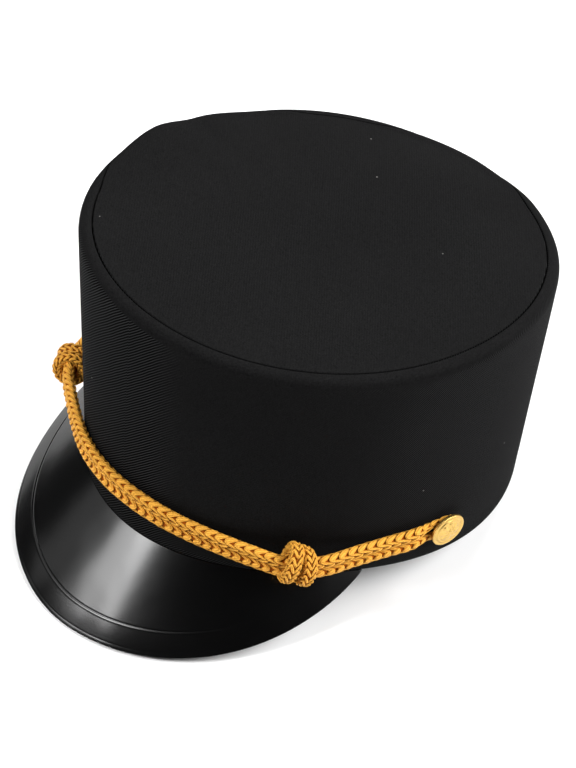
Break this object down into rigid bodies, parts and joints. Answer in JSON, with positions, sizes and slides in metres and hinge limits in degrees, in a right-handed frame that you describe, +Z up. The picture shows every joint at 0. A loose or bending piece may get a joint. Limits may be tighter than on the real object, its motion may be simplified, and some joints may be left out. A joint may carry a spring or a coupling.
{
  "type": "conductor hat",
  "caption": "Tall drum-crowned conductor hat with a glossy black visor and a gold cord knotted across the front between side buttons.",
  "frame": {"origin": "on the surface that the hat rests on, below the middle of its bounding box", "axes": "+Z up from that surface, -Y towards the visor, +X towards the wearer's left; the hat leans back 8.9 degrees as it rests"},
  "size_m": [0.1996, 0.254, 0.1457],
  "materials": {
    "twill": "matt black polyester twill with fine slanting ribs, stiffened behind",
    "visor_gloss": "polished black moulded plastic",
    "gold_cord": "knitted golden-yellow rayon cord with a soft lustre",
    "gold_metal": "gold-plated pressed metal, lightly polished"
  },
  "bodies": {
    "root": {"crown_side": "twill", "crown_top": "twill", "visor": "visor_gloss", "chin_cord": "gold_cord", "cord_knot_left": "gold_cord", "cord_knot_right": "gold_cord", "side_button_left": "gold_metal", "side_button_right": "gold_metal"}
  },
  "joints": []
}
